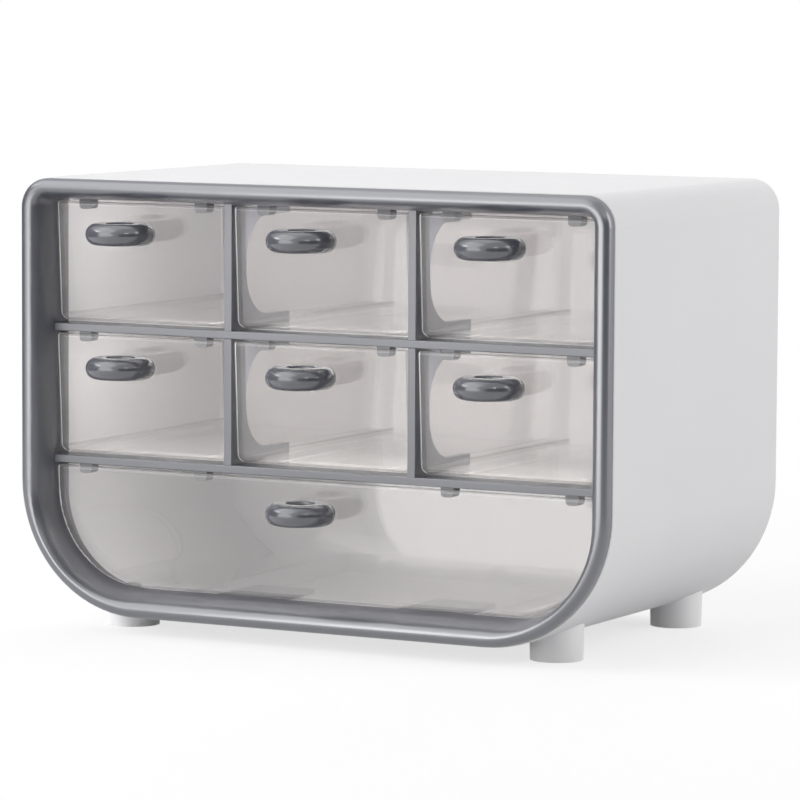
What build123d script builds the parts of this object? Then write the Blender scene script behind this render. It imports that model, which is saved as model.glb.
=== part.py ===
from build123d import *
import math
import os

# Desktop drawer organizer: a rounded case with six small drawers, one wide drawer and ring handles.
# Sizes in millimetres. +Z is up, +X is right and the drawers open towards -Y.
# While the pieces are drawn, Y = 0 is the front plane of the shelves and dividers.

# Grid of drawer cells: three columns in the upper and middle row, one wide cell below
cell_width = 84.3
cell_height = 53.3
lattice_thickness = 3.4
column_signs = (-1, 0, 1)
divider_signs = (-1, 1)
side_names = {-1: "left", 0: "centre", 1: "right"}

# Front frame
frame_side_width = 10.2
frame_top_width = 9.4
frame_bottom_width = 10.2
frame_lip_depth = 13.0
frame_reveal = 5.4
frame_inset = 0.4
frame_crown_radius = 3.4
frame_crown_flat = 0.5
frame_inner_top_radius = 2.4
frame_inner_bottom_radius = 41.0
collar_depth = 11.0
collar_thickness = 3.0
plug_depth = 7.0
plug_thickness = 2.2
plug_clearance = 0.1
tongue_width = 28.0
tongue_length = 39.0
tongue_thickness = 2.2
tongue_drop = 0.6

# Case shell
case_depth = 162.3
case_wall = 2.6
back_wall = 2.6
case_top_radius = 13.0
case_bottom_radius = 57.0
case_rear_edge_radius = 2.0
case_front_edge_radius = 0.6
ground_clearance = 7.0
deck_ledge_width = 4.0
deck_ledge_height = 3.0
runner_width = 2.4
runner_offset = 72.0

# Shelves, stop tabs and dividers
shelf_depth = 12.8
shelf_edge_radius = 0.4
tab_width = 6.0
tab_height = 4.4
tab_depth = 5.6
tab_offset = 28.7
tab_corner_radius = 1.8
tab_clearance = 0.4
divider_depth = 49.3
divider_web = 12.8
divider_arm_height = 5.5
divider_cut_radius = 18.0
divider_end_radius = 1.8
deck_clearance = 0.3

# Drawers
drawer_wall = 2.0
drawer_side_gap = 0.6
drawer_bottom_gap = 1.2
drawer_top_gap = 1.0
drawer_front_setback = 0.6
drawer_length = 143.4
drawer_front_draft = 3.3
drawer_rear_draft = 4.8
drawer_corner_radius = 3.5
drawer_inside_radius = 1.5
drawer_top_radius = 1.2
drawer_front_edge_radius = 1.4
wide_corner_inset = 0.8
glide_clearance = 0.2
glide_width = 2.0
glide_offset = 26.0
glide_front_setback = 10.0
glide_rear_setback = 5.0

# Ring handles and their screws
ring_diameter = 29.4
ring_tube_width = 8.8
ring_tube_height = 9.2
ring_bore_edge_radius = 1.2
ring_sink = 2.7
handle_drop = 13.6
handle_shift = -2.5
handle_screw_diameter = 3.0
handle_screw_cover = 1.7
screw_head_diameter = 6.0
screw_head_height = 2.0
screw_hole_clearance = 0.4
pilot_clearance = 0.1
pilot_extra_depth = 0.6

# Feet, their screws and pads
foot_side_distance = 38.15
foot_front_distance = 27.1
foot_rear_distance = 20.0
foot_bottom_diameter = 22.0
foot_top_diameter = 22.8
foot_screw_diameter = 3.0
foot_screw_reach = 5.0
foot_boss_diameter = 9.0
foot_boss_rise = 3.0
pad_diameter = 17.0
pad_thickness = 1.2
pad_proud = 0.2

# Largest share of a wall or an edge that one rounding may take
wall_share = 0.8
edge_share = 0.4
cut_share = 0.45

# Number of steps along the curve of the frame's flared lip
lip_steps = 5

# Alignments of round pieces along their own axis
up_from_base = (Align.CENTER, Align.CENTER, Align.MIN)
down_from_base = (Align.CENTER, Align.CENTER, Align.MAX)

# Places that follow from the sizes above
inner_half_width = (3 * cell_width + 2 * lattice_thickness) / 2
case_half_width = inner_half_width + frame_side_width
row_pitch = cell_height + lattice_thickness
wide_floor = ground_clearance + frame_bottom_width
middle_floor = wide_floor + row_pitch
upper_floor = middle_floor + row_pitch
opening_top = upper_floor + cell_height
case_low = ground_clearance
case_high = opening_top + frame_top_width
frame_front = -frame_lip_depth
shell_front = frame_front + frame_reveal
shell_back = shell_front + case_depth
shell_inside_back = shell_back - back_wall
foot_offset = case_half_width - foot_side_distance
divider_x = (cell_width + lattice_thickness) / 2
column_pitch = cell_width + lattice_thickness
front_slope = math.tan(math.radians(drawer_front_draft))
rear_slope = math.tan(math.radians(drawer_rear_draft))
handle_face_drop = handle_drop - drawer_top_gap
handle_face_y = drawer_front_setback + handle_face_drop * front_slope
ring_centre_y = handle_face_y - ring_diameter / 2 + ring_sink
handle_screw_reach = ring_tube_width - ring_sink - handle_screw_cover
handle_front = ring_centre_y - ring_diameter / 2
depth_centre = (handle_front + shell_back) / 2
tab_front = drawer_front_setback + drawer_wall + tab_height * front_slope + tab_clearance
foot_places = [
    (sign * foot_offset, y)
    for y in (shell_front + foot_front_distance, shell_back - foot_rear_distance)
    for sign in divider_signs
]


def outline(y, half_width, low, high, low_radius, high_radius):
    """Face in the plane at y: a rectangle with its own radius at the lower and the upper corners."""
    low_x = half_width - low_radius
    high_x = half_width - high_radius
    low_z = low + low_radius
    high_z = high - high_radius
    edges = [
        Line((-low_x, low), (low_x, low)),
        CenterArc((low_x, low_z), low_radius, -90, 90),
        Line((half_width, low_z), (half_width, high_z)),
        CenterArc((high_x, high_z), high_radius, 0, 90),
        Line((high_x, high), (-high_x, high)),
        CenterArc((-high_x, high_z), high_radius, 90, 90),
        Line((-half_width, high_z), (-half_width, low_z)),
        CenterArc((-low_x, low_z), low_radius, 180, 90),
    ]
    plane = Plane(origin=(0, y, 0), x_dir=(1, 0, 0), z_dir=(0, -1, 0))
    return plane * make_face(edges)


def prism(start, end, *shape):
    """Solid between two Y planes with the given outline."""
    return extrude(outline(start, *shape), amount=start - end)


def block(x_range, y_range, z_range):
    """Box between two corners."""
    size = [high - low for low, high in (x_range, y_range, z_range)]
    corner = [low for low, high in (x_range, y_range, z_range)]
    return Pos(*corner) * Box(*size, align=(Align.MIN, Align.MIN, Align.MIN))


def case_shape(inset):
    """Outline values of the case, moved inwards by the inset."""
    return (
        case_half_width - inset,
        case_low + inset,
        case_high - inset,
        case_bottom_radius - inset,
        case_top_radius - inset,
    )


def opening_shape(outset):
    """Outline values of the frame's inner wall, moved outwards by the outset."""
    return (
        inner_half_width + outset,
        wide_floor - outset,
        opening_top + outset,
        frame_inner_bottom_radius + outset,
        frame_inner_top_radius + outset,
    )


def blended_shape(first, second, share):
    """Outline values between two outlines."""
    return [a + (b - a) * share for a, b in zip(first, second)]


def stop_tabs(ceiling, columns):
    """Pairs of tabs that hang from a ceiling and catch the drawer's front and rear walls."""
    tabs = []
    for column in columns:
        for sign in divider_signs:
            x = column * column_pitch + sign * tab_offset
            tab = block(
                (x - tab_width / 2, x + tab_width / 2),
                (tab_front, tab_front + tab_depth),
                (ceiling - tab_height, ceiling + shelf_edge_radius),
            )
            lower_corners = tab.edges().filter_by(Axis.Y).group_by(Axis.Z)[0]
            tabs.append(fillet(lower_corners, min(tab_corner_radius, edge_share * tab_width)))
    return tabs


def foot_boss_top():
    """Height of the flat seats for the foot screws on the curved floor of the shell."""
    inside_radius = case_bottom_radius - case_wall
    arc_x = case_half_width - case_bottom_radius
    run = max(foot_offset - arc_x, 0)
    rise = inside_radius - math.sqrt(inside_radius ** 2 - run ** 2)
    return case_low + case_wall + rise + foot_boss_rise


def case_shell():
    """Rounded sleeve with a closed back, deck ledges, runner ribs and screw bosses inside."""
    shell = prism(shell_front, shell_back, *case_shape(0))
    rear_edges = shell.faces().sort_by(Axis.Y)[-1].edges()
    shell = fillet(rear_edges, min(case_rear_edge_radius, wall_share * back_wall))
    front_edges = shell.faces().sort_by(Axis.Y)[0].edges()
    shell = fillet(front_edges, min(case_front_edge_radius, edge_share * case_wall))
    cavity = prism(shell_front, shell_inside_back, *case_shape(case_wall))
    shell -= cavity
    inside_half = case_half_width - case_wall
    additions = []
    for floor in (middle_floor, upper_floor):
        ledge_top = floor - lattice_thickness
        for sign in divider_signs:
            ledge_x = sign * (inside_half - deck_ledge_width)
            wall_x = sign * (inside_half + case_wall / 2)
            additions.append(
                block(
                    sorted((ledge_x, wall_x)),
                    (shelf_depth, shell_inside_back + back_wall / 2),
                    (ledge_top - deck_ledge_height, ledge_top),
                )
            )
    for sign in divider_signs:
        additions.append(
            block(
                (sign * runner_offset - runner_width / 2, sign * runner_offset + runner_width / 2),
                (collar_depth, shell_inside_back + back_wall / 2),
                (case_low + case_wall / 2, wide_floor),
            )
        )
    for x, y in foot_places:
        boss_low = case_low + case_wall / 2
        boss = Cylinder(foot_boss_diameter / 2, foot_boss_top() - boss_low, align=up_from_base)
        within_wall = prism(shell_front, shell_back, *case_shape(case_wall / 2))
        additions.append((Pos(x, y, boss_low) * boss) & within_wall)
    shell += additions
    for x, y in foot_places:
        hole_radius = (foot_screw_diameter + screw_hole_clearance) / 2
        shell -= Pos(x, y, foot_boss_top()) * Cylinder(hole_radius, 2 * foot_boss_top())
    return shell


def front_frame():
    """Grey ring with a rounded crown, a flared lip, a plug rim inside the shell and a collar."""
    ring = prism(frame_front, shell_front, *case_shape(frame_inset))
    crown_edges = ring.faces().sort_by(Axis.Y)[0].edges()
    crown_radius = min(frame_crown_radius, wall_share * frame_reveal)
    ring = fillet(crown_edges, crown_radius)
    plug_inset = case_wall + plug_clearance
    plug = prism(shell_front, shell_front + plug_depth, *case_shape(plug_inset))
    plug -= prism(shell_front, shell_front + plug_depth, *case_shape(plug_inset + plug_thickness))
    collar = prism(shell_front, collar_depth, *opening_shape(collar_thickness))
    frame = ring + plug + collar
    frame -= prism(frame_front, collar_depth, *opening_shape(0))
    frame -= flared_lip(crown_radius)
    tongues = []
    for sign in divider_signs:
        x = sign * divider_x
        tongues.append(
            block(
                (x - tongue_width / 2, x + tongue_width / 2),
                (collar_depth - collar_thickness, collar_depth + tongue_length),
                (wide_floor - tongue_drop - tongue_thickness, wide_floor - tongue_drop),
            )
        )
    frame += tongues + stop_tabs(opening_top, column_signs)
    return frame


def flared_lip(crown_radius):
    """Cutter whose wall follows a quarter ellipse from the inner wall out to the crown."""
    inner = opening_shape(0)
    outer = case_shape(frame_inset + crown_radius + frame_crown_flat)
    sections = []
    for step in range(lip_steps + 1):
        turn = math.radians(90 * step / lip_steps)
        share = 1 - math.cos(turn)
        sections.append(outline(-frame_lip_depth * math.sin(turn), *blended_shape(inner, outer, share)))
    return loft(sections)


def shelf(floor, tab_columns):
    """Grey cross bar below a row of drawers, with the stop tabs of the row underneath."""
    bar = block(
        (-inner_half_width, inner_half_width),
        (0, shelf_depth),
        (floor - lattice_thickness, floor),
    )
    front_edges = bar.faces().sort_by(Axis.Y)[0].edges().filter_by(Axis.X)
    bar = fillet(front_edges, min(shelf_edge_radius, edge_share * lattice_thickness))
    return bar + stop_tabs(floor - lattice_thickness, tab_columns)


def deck(floor):
    """Full-depth plate behind a shelf that carries the small drawers of the row."""
    half_width = case_half_width - case_wall - deck_clearance
    return block(
        (-half_width, half_width),
        (shelf_depth, shell_inside_back - deck_clearance),
        (floor - lattice_thickness, floor),
    )


def divider(sign, floor):
    """C-shaped plate between two columns: a web at the front and an arm along the floor and ceiling."""
    cut_height = cell_height - 2 * divider_arm_height
    plate = Pos(divider_depth / 2, cell_height / 2) * Rectangle(divider_depth, cell_height)
    arm_ends = plate.vertices().group_by(Axis.X)[-1]
    plate = fillet(arm_ends, min(divider_end_radius, edge_share * divider_arm_height))
    cut_depth = 2 * (divider_depth - divider_web)
    cut = Pos(divider_depth, cell_height / 2) * Rectangle(cut_depth, cut_height)
    cut_radius = min(divider_cut_radius, cut_share * cut_height, cut_share * cut_depth)
    cut = fillet(cut.vertices().group_by(Axis.X)[0], cut_radius)
    plane = Plane(origin=(sign * divider_x, 0, floor), x_dir=(0, 1, 0), z_dir=(1, 0, 0))
    return extrude(plane * (plate - cut), amount=lattice_thickness / 2, both=True)


def drawer_core(half_width, low, high, corner_radius, top_radius, top, inset):
    """Block with drafted front and rear faces; the inset moves those faces inwards."""
    front_top = drawer_front_setback + inset / math.cos(math.radians(drawer_front_draft))
    rear_top = drawer_front_setback + drawer_length - inset / math.cos(math.radians(drawer_rear_draft))

    def front(z):
        return front_top + (top - z) * front_slope

    def rear(z):
        return rear_top - (top - z) * rear_slope

    corners = ((front(low), low), (rear(low), low), (rear(high), high), (front(high), high))
    side_view = Polyline(*corners, close=True)
    long_block = extrude(Plane.YZ * make_face(side_view), amount=half_width, both=True)
    return long_block & prism(front(high), rear(high), half_width, low, high, corner_radius, top_radius)


def drawer(x, half_width, floor, corner_radius, inside_radius, glide_x):
    """Open tray of clear plastic with two glides below and a hole for its handle screw."""
    low = floor + drawer_bottom_gap
    top = floor + cell_height - drawer_top_gap
    tray = drawer_core(half_width, low, top, corner_radius, drawer_top_radius, top, 0)
    front_edges = tray.faces().sort_by(Axis.Y)[0].edges()
    tray = fillet(front_edges, min(drawer_front_edge_radius, wall_share * drawer_wall))
    tray -= drawer_core(
        half_width - drawer_wall,
        low + drawer_wall,
        top + drawer_wall,
        inside_radius,
        drawer_top_radius,
        top,
        drawer_wall,
    )
    height = top - low
    glide_front = drawer_front_setback + height * front_slope + glide_front_setback
    glide_rear = drawer_front_setback + drawer_length - height * rear_slope - glide_rear_setback
    tray += [
        block(
            (sign * glide_x - glide_width / 2, sign * glide_x + glide_width / 2),
            (glide_front, glide_rear),
            (floor + glide_clearance, low + drawer_wall / 2),
        )
        for sign in divider_signs
    ]
    hole_radius = (handle_screw_diameter + screw_hole_clearance) / 2
    tray -= handle_plane(handle_shift, floor) * Cylinder(hole_radius, 4 * drawer_wall)
    return Pos(x, 0, 0) * tray


def handle_plane(x, floor):
    """Plane on the outer face of a drawer front where its handle sits; +z points out of the drawer."""
    draft = math.radians(drawer_front_draft)
    origin = (x, handle_face_y, floor + cell_height - handle_drop)
    return Plane(origin=origin, x_dir=(1, 0, 0), z_dir=(0, -math.cos(draft), -math.sin(draft)))


def handle(x, floor):
    """Level ring with a rounded rim and a straight bore, cut flat where it sits on the drawer front."""
    z = floor + cell_height - handle_drop
    tube_centre = (ring_diameter - ring_tube_width) / 2
    ring_centre = (x, ring_centre_y, z)
    section_plane = Plane(origin=ring_centre, x_dir=(1, 0, 0), z_dir=(0, -1, 0))
    rim = Ellipse(ring_tube_width / 2, ring_tube_height / 2)
    bore_side = Pos(-ring_tube_width / 4, 0) * Rectangle(ring_tube_width / 2, ring_tube_height)
    tube = rim + bore_side
    bore_edge = min(ring_bore_edge_radius, edge_share * ring_tube_width, edge_share * ring_tube_height)
    tube = fillet(tube.vertices().group_by(Axis.X)[0], bore_edge)
    ring = revolve(section_plane * (Pos(tube_centre, 0) * tube), axis=Axis(ring_centre, (0, 0, 1)))
    seat = handle_plane(x, floor)
    behind = Box(2 * ring_diameter, 2 * ring_diameter, ring_diameter, align=down_from_base)
    pilot_radius = handle_screw_diameter / 2 + pilot_clearance
    pilot = Cylinder(pilot_radius, handle_screw_reach + pilot_extra_depth, align=up_from_base)
    return ring - seat * behind - seat * pilot


def screw(shank_diameter, shank_length):
    """Pan-head screw along +z with the underside of its head at z = 0."""
    head = Cylinder(screw_head_diameter / 2, screw_head_height, align=down_from_base)
    head = fillet(head.edges().group_by(Axis.Z)[0], edge_share * screw_head_height)
    return head + Cylinder(shank_diameter / 2, shank_length, align=up_from_base)


def handle_screw(x, floor):
    """Screw from inside the drawer through its front into the handle."""
    shank_length = drawer_wall + handle_screw_reach
    from_inside = Pos(0, 0, -drawer_wall) * screw(handle_screw_diameter, shank_length)
    return handle_plane(x, floor) * from_inside


def foot(x, y):
    """Slightly tapered round foot whose top follows the curved underside of the shell."""
    height = foot_boss_top() + foot_top_diameter
    spread = (foot_top_diameter - foot_bottom_diameter) / 2
    top_radius = foot_bottom_diameter / 2 + spread * height / foot_boss_top()
    cone = Cone(foot_bottom_diameter / 2, top_radius, height, align=up_from_base)
    pad_recess = Cylinder(pad_diameter / 2 + pilot_clearance, pad_thickness, align=up_from_base)
    body = Pos(x, y, pad_proud) * cone - prism(shell_front, shell_back, *case_shape(0))
    body -= Pos(x, y, 0) * pad_recess
    pilot_radius = foot_screw_diameter / 2 + pilot_clearance
    pilot_low = foot_screw_low() - pilot_extra_depth
    return body - Pos(x, y, pilot_low) * Cylinder(pilot_radius, height, align=up_from_base)


def foot_screw_low():
    """Lowest point of the foot screws."""
    return case_low - foot_screw_reach + case_wall


def foot_screw(x, y):
    """Screw from inside the shell down into a foot."""
    pointing_down = Rot(180, 0, 0) * screw(foot_screw_diameter, foot_boss_top() - foot_screw_low())
    return Pos(x, y, foot_boss_top()) * pointing_down


def foot_pad(x, y):
    """Rubber disc in the underside of a foot."""
    return Pos(x, y, 0) * Cylinder(pad_diameter / 2, pad_thickness, align=up_from_base)


def all_pieces():
    """Every piece by the name of its file; a list is a group of equal pieces."""
    pieces = {
        "case_shell": case_shell(),
        "front_frame": front_frame(),
        "upper_shelf": shelf(upper_floor, column_signs),
        "lower_shelf": shelf(middle_floor, divider_signs),
        "upper_deck": deck(upper_floor),
        "lower_deck": deck(middle_floor),
        "foot_screws": [foot_screw(x, y) for x, y in foot_places],
        "foot_pads": [foot_pad(x, y) for x, y in foot_places],
    }
    foot_names = ("foot_front_left", "foot_front_right", "foot_rear_left", "foot_rear_right")
    for name, place in zip(foot_names, foot_places):
        pieces[name] = foot(*place)
    for row, floor in (("upper", upper_floor), ("middle", middle_floor)):
        for sign in divider_signs:
            pieces[f"divider_{row}_{side_names[sign]}"] = divider(sign, floor)
        for sign in column_signs:
            place = f"{row}_{side_names[sign]}"
            x = sign * column_pitch
            half_width = cell_width / 2 - drawer_side_gap
            pieces[f"drawer_{place}"] = drawer(
                x, half_width, floor, drawer_corner_radius, drawer_inside_radius, glide_offset
            )
            pieces[f"handle_{place}"] = handle(x + handle_shift, floor)
            pieces[f"handle_screw_{place}"] = handle_screw(x + handle_shift, floor)
    wide_radius = frame_inner_bottom_radius - wide_corner_inset
    wide_half_width = inner_half_width - drawer_side_gap
    pieces["drawer_wide"] = drawer(
        0, wide_half_width, wide_floor, wide_radius, wide_radius - drawer_wall, runner_offset
    )
    pieces["handle_wide"] = handle(handle_shift, wide_floor)
    pieces["handle_screw_wide"] = handle_screw(handle_shift, wide_floor)
    return pieces


os.makedirs("parts", exist_ok=True)
to_centre = Pos(0, -depth_centre, 0)
for piece_name, piece in all_pieces().items():
    if isinstance(piece, list):
        moved = Compound([(to_centre * member).solid() for member in piece])
    else:
        moved = (to_centre * piece).solid()
    export_step(moved, f"parts/{piece_name}.step")
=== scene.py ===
import math
import bpy
from mathutils import Matrix, Vector


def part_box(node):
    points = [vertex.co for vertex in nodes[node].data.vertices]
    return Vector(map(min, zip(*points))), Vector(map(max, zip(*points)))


# Looks of a desktop drawer organizer: pale shell, glossy grey frame and rings, smoky clear drawers.
# Lengths are in metres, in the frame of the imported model.

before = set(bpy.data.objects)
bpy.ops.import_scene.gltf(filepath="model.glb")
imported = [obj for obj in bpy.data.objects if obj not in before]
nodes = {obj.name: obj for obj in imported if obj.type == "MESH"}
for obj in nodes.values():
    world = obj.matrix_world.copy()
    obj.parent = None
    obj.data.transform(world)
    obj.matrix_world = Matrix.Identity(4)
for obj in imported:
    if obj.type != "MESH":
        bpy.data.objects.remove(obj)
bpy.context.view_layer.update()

# Camera of the photograph; its place is measured from the floor under the middle of the shelves' front
camera_from_front = Vector((0.959464, -1.700955, 0.289847))
camera_yaw = math.radians(28.432)
camera_pitch = math.radians(5.440)
camera_roll = math.radians(0.308)
camera_focal_pixels = 4716.04
camera_reach = 200.0
photo_pixels = 800
sensor_width = 36.0

# Light levels, where 1 is the brightness of the white background
white_level = 1.0
world_level = 0.30
left_box_level = 4.2
front_left_box_level = 1.8
upper_left_box_level = 1.6
top_box_level = 0.7
right_box_level = 2.9
right_strip_level = 9.0
back_box_level = 2.6
lip_card_level = 2.9
inside_levels = {"drawer_upper_centre": 7.3, "drawer_middle_centre": 7.2, "drawer_wide": 3.7}

# Points that the lamps face
case_middle = Vector((0.0, 0.0, 0.10))
case_upper = Vector((0.0, 0.0, 0.15))
frame_front = Vector((0.0, -0.08, 0.12))

# Inside lamps: distance behind the front plane of the shelves, and the part of the row that they cover
inside_setback = 0.012
inside_start = 0.45
inside_end = 0.95
inside_width_share = 0.86

# Card in front of the frame's right lip
lip_card_distance = 0.35
lip_card_width = 0.34

# Dark flags at the front right and the left, which only mirrors see
right_flag_place = Vector((0.75, -0.55, 0.25))
left_flag_place = Vector((-0.75, -0.05, 0.25))
flag_width = 1.3
flag_height = 0.5
flag_albedo = 0.03

# Floor: its own grey, and the grey and glow with which it is seen near the object.
# It keeps the object's shadow within the first radius and is plain white beyond the second.
floor_size = 80.0
floor_albedo = 0.65
seen_floor_albedo = 0.30
seen_floor_glow = 0.70
shadow_radius = 0.32
white_radius = 0.75

# Noise of the materials: the part of its range that is used, its scales per metre and its detail
noise_low = 0.3
noise_high = 0.7
flow_scale = 9.0
flow_detail = 3.0
gloss_scale = 60.0
gloss_detail = 5.0
grain_detail = 2.0
grain_depth = 0.0002
clear_flow_scale = 14.0
clear_haze_scale = 25.0
clear_haze_detail = 4.0
clear_gloss_scale = 45.0

# Gloss of the drawers: roughness, share mirrored from the front, and how fast it grows towards the edge
clear_roughness = (0.01, 0.04)
drawer_gloss = 0.06
grazing_power = 5.0

# Most clear walls that one ray can pass
clear_layers = 40

# Drawer faces with materials of their own, known by their depth and by how far their normal is turned:
# painted highlights on the left front edges and the top rims, painted shade on the rounded edges
painted_edge_highlight_depth = 0.006
painted_edge_highlight_turn = 0.12
painted_rim_highlight_depth = 0.001
painted_rim_highlight_turn = 0.7
painted_corner_shade_turn = 0.25

# The frame's stop tabs: how much their faces look forward to get a lighter grey, painted light on the
# tab fronts
painted_lit_tab_turn = 0.3


def make_camera():
    """Camera at the photograph's place, turned by its yaw, pitch and roll."""
    forward = Vector((
        -math.sin(camera_yaw) * math.cos(camera_pitch),
        math.cos(camera_yaw) * math.cos(camera_pitch),
        -math.sin(camera_pitch),
    ))
    level_right = Vector((math.cos(camera_yaw), math.sin(camera_yaw), 0.0))
    level_up = level_right.cross(forward)
    right = math.cos(camera_roll) * level_right + math.sin(camera_roll) * level_up
    up = math.cos(camera_roll) * level_up - math.sin(camera_roll) * level_right
    turn = Matrix((right, up, -forward)).transposed().to_4x4()
    data = bpy.data.cameras.new("photo_camera")
    data.sensor_width = sensor_width
    data.lens = camera_focal_pixels / photo_pixels * sensor_width
    data.clip_end = camera_reach
    camera = bpy.data.objects.new("photo_camera", data)
    shelf_low, shelf_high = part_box("upper_shelf")
    front_plane = Vector((0.0, shelf_low[1], 0.0))
    camera.matrix_world = Matrix.Translation(front_plane + camera_from_front) @ turn
    bpy.context.scene.collection.objects.link(camera)
    bpy.context.scene.camera = camera


def make_softbox(name, place, target, width, height, level):
    """Area lamp that faces the target with the given radiance."""
    data = bpy.data.lights.new(name, "AREA")
    data.shape = "RECTANGLE"
    data.size = width
    data.size_y = height
    data.energy = level * math.pi * width * height
    lamp = bpy.data.objects.new(name, data)
    lamp.location = place
    lamp.rotation_mode = "QUATERNION"
    lamp.rotation_quaternion = (target - Vector(place)).to_track_quat("-Z", "Y")
    lamp.visible_camera = False
    bpy.context.scene.collection.objects.link(lamp)
    return lamp


def make_studio_lights():
    """Soft boxes around the object, and a small strip whose light shows only in mirrors."""
    make_softbox(
        "left_box", place=(-1.00, -0.50, 0.38), target=case_upper,
        width=0.5, height=0.74, level=left_box_level,
    )
    make_softbox(
        "front_left_box", place=(-0.56, -1.10, 0.26), target=case_upper,
        width=1.3, height=0.5, level=front_left_box_level,
    )
    make_softbox(
        "upper_left_box", place=(-0.55, -0.70, 0.88), target=case_middle,
        width=1.3, height=1.0, level=upper_left_box_level,
    )
    make_softbox(
        "top_box", place=(-0.15, 0.05, 1.2), target=case_middle,
        width=1.1, height=0.9, level=top_box_level,
    )
    make_softbox(
        "right_box", place=(1.25, 0.30, 0.55), target=case_middle,
        width=0.9, height=0.9, level=right_box_level,
    )
    right_strip = make_softbox(
        "right_strip", place=(0.80, -0.75, 0.66), target=frame_front,
        width=0.16, height=0.10, level=right_strip_level,
    )
    right_strip.visible_diffuse = False
    back_box = make_softbox(
        "back_box", place=(-0.30, 1.50, 0.75), target=case_middle,
        width=1.1, height=0.9, level=back_box_level,
    )
    back_box.visible_glossy = False


def make_inside_lights():
    """Unseen lamps just behind the drawer fronts, one per row, that light the inside of the case."""
    shelf_low, shelf_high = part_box("upper_shelf")
    width = inside_width_share * (shelf_high[0] - shelf_low[0])
    for drawer, level in inside_levels.items():
        low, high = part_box(drawer)
        row_height = high[2] - low[2]
        middle = low[2] + (inside_start + inside_end) / 2 * row_height
        height = (inside_end - inside_start) * row_height
        place = Vector((0.0, shelf_low[1] + inside_setback, middle))
        inwards = place + Vector((0.0, 1.0, 0.0))
        lamp = make_softbox(f"inside_{drawer}", place, inwards, width, height, level)
        lamp.visible_glossy = False
        lamp.visible_transmission = False


def make_lip_card():
    """Small card near the front that only the frame mirrors, as the bright line on its right lip."""
    low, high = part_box("front_frame")
    lip = Vector((high[0], low[1], (low[2] + high[2]) / 2))
    away = Vector((-math.sin(camera_yaw), -math.cos(camera_yaw), 0.0))
    place = lip + lip_card_distance * away
    card = make_softbox("lip_card", place, lip, lip_card_width, high[2] - low[2], lip_card_level)
    card.visible_diffuse = False
    mirrors = bpy.data.collections.new("lip_card_mirrors")
    mirrors.objects.link(nodes["front_frame"])
    card.light_linking.receiver_collection = mirrors


def add_node(tree, kind, **settings):
    """New shader node with the given properties."""
    node = tree.nodes.new(kind)
    for name, value in settings.items():
        setattr(node, name, value)
    return node


def new_material(name):
    """Material with its tree and its Principled shader."""
    material = bpy.data.materials.new(name)
    material.use_nodes = True
    tree = material.node_tree
    return material, tree, tree.nodes["Principled BSDF"]


def new_bare_material(name):
    """Material with its tree, which holds no shader yet."""
    material, tree, shader = new_material(name)
    tree.nodes.remove(shader)
    return material, tree


def set_surface(tree, shader):
    """Makes the shader the material's surface."""
    tree.links.new(shader, tree.nodes["Material Output"].inputs["Surface"])


def mix_shaders(tree, share, first, second):
    """Shader that goes from the first to the second as the share goes from 0 to 1."""
    mix = add_node(tree, "ShaderNodeMixShader")
    tree.links.new(share, mix.inputs["Fac"])
    tree.links.new(first, mix.inputs[1])
    tree.links.new(second, mix.inputs[2])
    return mix.outputs["Shader"]


def larger(tree, first, second):
    """The larger of two values."""
    node = add_node(tree, "ShaderNodeMath", operation="MAXIMUM")
    tree.links.new(first, node.inputs[0])
    tree.links.new(second, node.inputs[1])
    return node.outputs["Value"]


def seen_rays(tree):
    """One for rays from the camera, from mirrors and through glass, zero for the rest."""
    path = add_node(tree, "ShaderNodeLightPath").outputs
    mirror_or_glass = larger(tree, path["Is Glossy Ray"], path["Is Transmission Ray"])
    return larger(tree, path["Is Camera Ray"], mirror_or_glass)


def make_world():
    """Even, dim studio light; the camera, mirrors and glass see a white background."""
    world = bpy.data.worlds.new("studio")
    bpy.context.scene.world = world
    world.use_nodes = True
    tree = world.node_tree
    background = tree.nodes["Background"]
    background.inputs["Color"].default_value = (1.0, 1.0, 1.0, 1.0)
    level = add_node(tree, "ShaderNodeMapRange")
    level.inputs["To Min"].default_value = world_level
    level.inputs["To Max"].default_value = white_level
    tree.links.new(seen_rays(tree), level.inputs["Value"])
    tree.links.new(level.outputs["Result"], background.inputs["Strength"])


def matte_paint(tree, albedo):
    """Plain matte grey."""
    paint = add_node(tree, "ShaderNodeBsdfDiffuse")
    paint.inputs["Color"].default_value = (albedo, albedo, albedo, 1.0)
    return paint.outputs["BSDF"]


def white_glow(tree, level):
    """Plain white light of the given level."""
    glow = add_node(tree, "ShaderNodeEmission")
    glow.inputs["Strength"].default_value = level
    return glow.outputs["Emission"]


def far_share(tree):
    """Zero on the floor near the object, one far from it."""
    place = add_node(tree, "ShaderNodeTexCoord")
    radius = add_node(tree, "ShaderNodeVectorMath", operation="LENGTH")
    tree.links.new(place.outputs["Object"], radius.inputs[0])
    share = add_node(tree, "ShaderNodeMapRange", interpolation_type="SMOOTHSTEP")
    share.inputs["From Min"].default_value = shadow_radius
    share.inputs["From Max"].default_value = white_radius
    tree.links.new(radius.outputs["Value"], share.inputs["Value"])
    return share.outputs["Result"]


def lifted_floor(tree):
    """Floor near the object as it is seen: a grey that keeps the shadow, lifted by a glow."""
    total = add_node(tree, "ShaderNodeAddShader")
    tree.links.new(matte_paint(tree, seen_floor_albedo), total.inputs[0])
    tree.links.new(white_glow(tree, seen_floor_glow), total.inputs[1])
    return total.outputs["Shader"]


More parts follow.
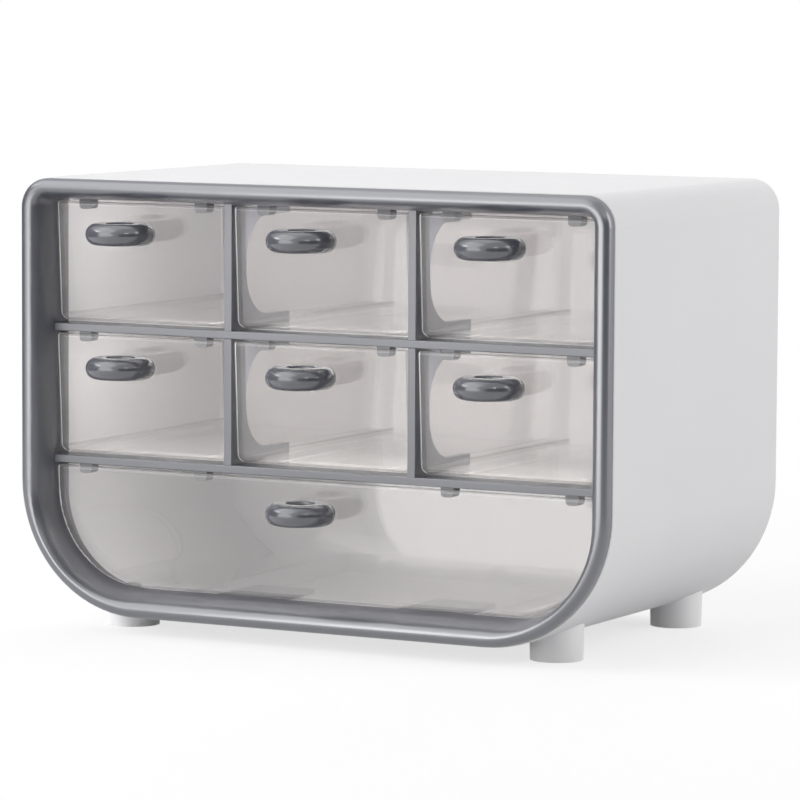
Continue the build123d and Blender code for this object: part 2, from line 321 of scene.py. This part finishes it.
def floor_paint():
    """Pale floor whose shadow fades out; the camera, mirrors and glass see it lifted to white."""
    material, tree = new_bare_material("pale_floor")
    seen_floor = mix_shaders(tree, far_share(tree), lifted_floor(tree), white_glow(tree, white_level))
    lighting_floor = matte_paint(tree, floor_albedo)
    set_surface(tree, mix_shaders(tree, seen_rays(tree), lighting_floor, seen_floor))
    return material


def flag_paint():
    """Dark matte cloth of the flags."""
    material, tree = new_bare_material("dark_flag")
    set_surface(tree, matte_paint(tree, flag_albedo))
    return material


def make_sheet(name, width, height, material):
    """Flat rectangle around the origin."""
    right = width / 2
    top = height / 2
    mesh = bpy.data.meshes.new(name)
    corners = [(-right, -top, 0.0), (right, -top, 0.0), (right, top, 0.0), (-right, top, 0.0)]
    mesh.from_pydata(corners, [], [(0, 1, 2, 3)])
    mesh.materials.append(material)
    sheet = bpy.data.objects.new(name, mesh)
    bpy.context.scene.collection.objects.link(sheet)
    return sheet


def make_floor(material):
    """Large plain floor that the object stands on."""
    floor = make_sheet("floor", floor_size, floor_size, material)


def make_flag(name, place, material):
    """Upright dark flag that faces the object and gives the glossy pieces a dark side."""
    flag = make_sheet(name, flag_width, flag_height, material)
    flag.location = place
    flag.rotation_mode = "QUATERNION"
    towards_object = Vector((-place.x, -place.y, 0.0))
    flag.rotation_quaternion = towards_object.to_track_quat("Z", "Y")
    flag.visible_camera = False
    flag.visible_diffuse = False
    flag.visible_transmission = False
    flag.visible_shadow = False


def noise(tree, scale, detail):
    """Noise in object space, so that its grain keeps its real size."""
    place = add_node(tree, "ShaderNodeTexCoord")
    texture = add_node(tree, "ShaderNodeTexNoise")
    texture.inputs["Scale"].default_value = scale
    texture.inputs["Detail"].default_value = detail
    tree.links.new(place.outputs["Object"], texture.inputs["Vector"])
    return texture.outputs["Fac"]


def shades(tree, source, darker, lighter):
    """Colour that goes from darker to lighter with the noise."""
    node = add_node(tree, "ShaderNodeValToRGB")
    first, last = node.color_ramp.elements
    first.position = noise_low
    first.color = (*darker, 1.0)
    last.position = noise_high
    last.color = (*lighter, 1.0)
    tree.links.new(source, node.inputs["Fac"])
    return node.outputs["Color"]


def spread(tree, source, limits):
    """Value that goes from the lower to the upper limit with the noise."""
    node = add_node(tree, "ShaderNodeMapRange")
    node.inputs["From Min"].default_value = noise_low
    node.inputs["From Max"].default_value = noise_high
    node.inputs["To Min"].default_value, node.inputs["To Max"].default_value = limits
    tree.links.new(source, node.inputs["Value"])
    return node.outputs["Result"]


def bump(tree, shader, source, strength):
    """Fine surface relief from the noise."""
    node = add_node(tree, "ShaderNodeBump")
    node.inputs["Strength"].default_value = strength
    node.inputs["Distance"].default_value = grain_depth
    tree.links.new(source, node.inputs["Height"])
    tree.links.new(node.outputs["Normal"], shader.inputs["Normal"])


def moulded_plastic(name, darker, lighter, roughness, grain, grain_scale, ior=1.5):
    """Injection-moulded plastic: slight flow shading, uneven gloss and a fine surface grain."""
    material, tree, shader = new_material(name)
    flow = noise(tree, flow_scale, flow_detail)
    tree.links.new(shades(tree, flow, darker, lighter), shader.inputs["Base Color"])
    gloss = noise(tree, gloss_scale, gloss_detail)
    tree.links.new(spread(tree, gloss, roughness), shader.inputs["Roughness"])
    shader.inputs["IOR"].default_value = ior
    bump(tree, shader, noise(tree, grain_scale, grain_detail), grain)
    return material


def plated_steel(name, **surface):
    """Plated metal, as uneven in colour and gloss as the moulded pieces."""
    material = moulded_plastic(name, **surface)
    material.node_tree.nodes["Principled BSDF"].inputs["Metallic"].default_value = 1.0
    return material


def gloss_share(tree):
    """Share of light that a clear wall mirrors: small from the front, all of it at a grazing angle."""
    facing = add_node(tree, "ShaderNodeLayerWeight")
    grazing = add_node(tree, "ShaderNodeMath", operation="POWER")
    grazing.inputs[1].default_value = grazing_power
    tree.links.new(facing.outputs["Facing"], grazing.inputs[0])
    share = add_node(tree, "ShaderNodeMapRange")
    share.inputs["To Min"].default_value = drawer_gloss
    share.inputs["To Max"].default_value = 1.0
    tree.links.new(grazing.outputs["Value"], share.inputs["Value"])
    return share.outputs["Result"]


def clear_plastic(name, darker, lighter, haze, tint):
    """Thin clear plastic: it shows what is behind it, with a slight haze and a mirror-like gloss."""
    material, tree, body = new_material(name)
    flow = noise(tree, clear_flow_scale, flow_detail)
    tree.links.new(shades(tree, flow, darker, lighter), body.inputs["Base Color"])
    body.inputs["Specular IOR Level"].default_value = 0.0
    through = add_node(tree, "ShaderNodeBsdfTransparent")
    through.inputs["Color"].default_value = (*tint, 1.0)
    haze_share = spread(tree, noise(tree, clear_haze_scale, clear_haze_detail), haze)
    hazy = mix_shaders(tree, haze_share, through.outputs["BSDF"], body.outputs["BSDF"])
    mirror = add_node(tree, "ShaderNodeBsdfAnisotropic")
    mirror.inputs["Color"].default_value = (1.0, 1.0, 1.0, 1.0)
    gloss = noise(tree, clear_gloss_scale, gloss_detail)
    tree.links.new(spread(tree, gloss, clear_roughness), mirror.inputs["Roughness"])
    set_surface(tree, mix_shaders(tree, gloss_share(tree), hazy, mirror.outputs["BSDF"]))
    return material


def named(*starts):
    """CAD nodes whose names start with one of the words."""
    return [name for name in sorted(nodes) if name.startswith(starts)]


def dress(names, material):
    """Gives the CAD nodes their material."""
    for name in names:
        mesh = nodes[name].data
        mesh.materials.clear()
        mesh.materials.append(material)


def dress_faces(name, material, chosen):
    """Gives those faces of a CAD node that pass the test a further material."""
    node = nodes[name]
    node.data.materials.append(material)
    slot = len(node.data.materials) - 1
    turn = node.matrix_world.to_3x3()
    for face in node.data.polygons:
        if chosen(node.matrix_world @ face.center, (turn @ face.normal).normalized()):
            face.material_index = slot


def dress_drawer_painted_edge_light(name, painted_edge_highlight, painted_rim_highlight, painted_corner_shade):
    """Painted light on a drawer: painted shade on its rounded edges, a painted highlight on the left
    edge of its front and on the rim on top.
    """
    low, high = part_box(name)
    # The round lower corners of the wide drawer are large walls, which turn only sideways and up or down
    has_round_walls = name == "drawer_wide"

    # Rounded edges get a darker, hazier plastic: painted shade
    def on_painted_corner_shade(place, normal):
        turned = [abs(part) > painted_corner_shade_turn for part in normal]
        on_round_wall = has_round_walls and not turned[1]
        return turned.count(True) > 1 and not on_round_wall

    # The left front edge gets a near-white plastic: a painted highlight
    def on_painted_edge_highlight(place, normal):
        at_front = place.y - low[1] < painted_edge_highlight_depth
        return at_front and normal.x < -painted_edge_highlight_turn and normal.y < -painted_edge_highlight_turn

    # The top rim gets a lighter, hazier plastic: a painted highlight
    def on_painted_rim_highlight(place, normal):
        return high[2] - place.z < painted_rim_highlight_depth and normal.z > painted_rim_highlight_turn

    dress_faces(name, painted_corner_shade, on_painted_corner_shade)
    dress_faces(name, painted_rim_highlight, on_painted_rim_highlight)
    dress_faces(name, painted_edge_highlight, on_painted_edge_highlight)


def dress_frame_tabs_painted_lit(material):
    """Matte, lighter grey on the frame's stop tabs that look forward from behind the shelves' front:
    painted light on the tab fronts.
    """
    shelf_low, shelf_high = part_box("upper_shelf")

    def on_painted_lit_tab(place, normal):
        return place.y > shelf_low[1] and normal.y < -painted_lit_tab_turn

    dress_faces("front_frame", material, on_painted_lit_tab)


# Studio
bpy.context.scene.view_settings.view_transform = "Standard"
bpy.context.scene.cycles.transparent_max_bounces = clear_layers
make_camera()
make_world()
make_studio_lights()
make_inside_lights()
make_lip_card()
flag_cloth = flag_paint()
make_flag("right_flag", right_flag_place, flag_cloth)
make_flag("left_flag", left_flag_place, flag_cloth)
make_floor(floor_paint())

# Pale plastics of the shell, the feet and the decks; the feet are a lighter copy of the shell plastic,
# painted light against the shade near the floor
shell = moulded_plastic(
    "pale_shell_plastic",
    darker=(0.78, 0.775, 0.79),
    lighter=(0.80, 0.795, 0.81),
    roughness=(0.52, 0.60),
    grain=0.05,
    grain_scale=900.0,
)
# Feet: a lighter copy of the shell plastic, painted light against the shade near the floor
painted_lit_foot_white = moulded_plastic(
    "pale_foot_plastic_painted_lit",
    darker=(0.86, 0.855, 0.865),
    lighter=(0.88, 0.875, 0.885),
    roughness=(0.45, 0.55),
    grain=0.05,
    grain_scale=900.0,
)
deck_white = moulded_plastic(
    "deck_plastic",
    darker=(0.84, 0.83, 0.82),
    lighter=(0.87, 0.86, 0.85),
    roughness=(0.45, 0.55),
    grain=0.06,
    grain_scale=600.0,
)

# Grey plastics of the frame with its bars, of its stop tabs, whose lighter grey is painted light on
# their fronts, and of the ring handles
grey = moulded_plastic(
    "grey_gloss_plastic",
    darker=(0.078, 0.082, 0.104),
    lighter=(0.090, 0.094, 0.116),
    roughness=(0.285, 0.335),
    grain=0.02,
    grain_scale=700.0,
    ior=2.2,
)
# Lighter grey of the tab fronts: painted light
painted_lit_tab_grey = moulded_plastic(
    "grey_tab_plastic_painted_lit",
    darker=(0.215, 0.217, 0.235),
    lighter=(0.235, 0.237, 0.255),
    roughness=(0.45, 0.55),
    grain=0.02,
    grain_scale=700.0,
)
ring_grey = moulded_plastic(
    "grey_ring_plastic",
    darker=(0.092, 0.095, 0.114),
    lighter=(0.105, 0.108, 0.127),
    roughness=(0.17, 0.22),
    grain=0.02,
    grain_scale=700.0,
    ior=1.9,
)

# Rubber of the pads and steel of the screws
rubber = moulded_plastic(
    "pad_rubber",
    darker=(0.72, 0.72, 0.71),
    lighter=(0.77, 0.77, 0.76),
    roughness=(0.7, 0.8),
    grain=0.2,
    grain_scale=500.0,
)
steel = plated_steel(
    "screw_steel",
    darker=(0.55, 0.55, 0.56),
    lighter=(0.65, 0.65, 0.66),
    roughness=(0.25, 0.35),
    grain=0.1,
    grain_scale=800.0,
)

# Clear plastic of the drawers: walls, and painted light on them: a painted highlight on the rims on top,
# painted shade on the rounded corners and a painted highlight on the left front edges
clear = clear_plastic(
    "smoky_clear_plastic",
    darker=(0.50, 0.485, 0.475),
    lighter=(0.54, 0.525, 0.515),
    haze=(0.012, 0.024),
    tint=(0.988, 0.984, 0.981),
)
# Painted highlight on the top rims of the walls: lighter and hazier
clear_painted_rim_highlight = clear_plastic(
    "clear_plastic_painted_rim_highlight",
    darker=(0.60, 0.59, 0.58),
    lighter=(0.66, 0.65, 0.64),
    haze=(0.45, 0.55),
    tint=(0.93, 0.925, 0.92),
)
# Painted shade on the rounded edges: darker and hazier
clear_painted_corner_shade = clear_plastic(
    "clear_plastic_painted_corner_shade",
    darker=(0.42, 0.41, 0.40),
    lighter=(0.46, 0.45, 0.44),
    haze=(0.14, 0.20),
    tint=(0.94, 0.935, 0.93),
)
# Painted highlight on the left front edges: near-white and nearly opaque
clear_painted_edge_highlight = clear_plastic(
    "clear_plastic_painted_edge_highlight",
    darker=(0.95, 0.945, 0.94),
    lighter=(0.97, 0.965, 0.96),
    haze=(0.85, 0.95),
    tint=(0.97, 0.96, 0.95),
)

# Which piece has which material; the screws of the handles come after the handles, whose name they share
dress(["case_shell"], shell)
dress(named("foot_front", "foot_rear"), painted_lit_foot_white)
dress(named("front_frame", "upper_shelf", "lower_shelf", "divider"), grey)
dress(named("handle_"), ring_grey)
dress(named("upper_deck", "lower_deck"), deck_white)
dress(named("foot_pads"), rubber)
dress(named("handle_screw", "foot_screws"), steel)
dress(named("drawer_"), clear)
# Painted highlights and painted shade on the drawers' edges
for name in named("drawer_"):
    dress_drawer_painted_edge_light(name, clear_painted_edge_highlight, clear_painted_rim_highlight, clear_painted_corner_shade)
# Lighter grey on the tab fronts: painted light
dress_frame_tabs_painted_lit(painted_lit_tab_grey)

# The large flat faces of the shell shade evenly up to its rounded corners
shell_shading = nodes["case_shell"].modifiers.new("even_shading", "WEIGHTED_NORMAL")
shell_shading.keep_sharp = True
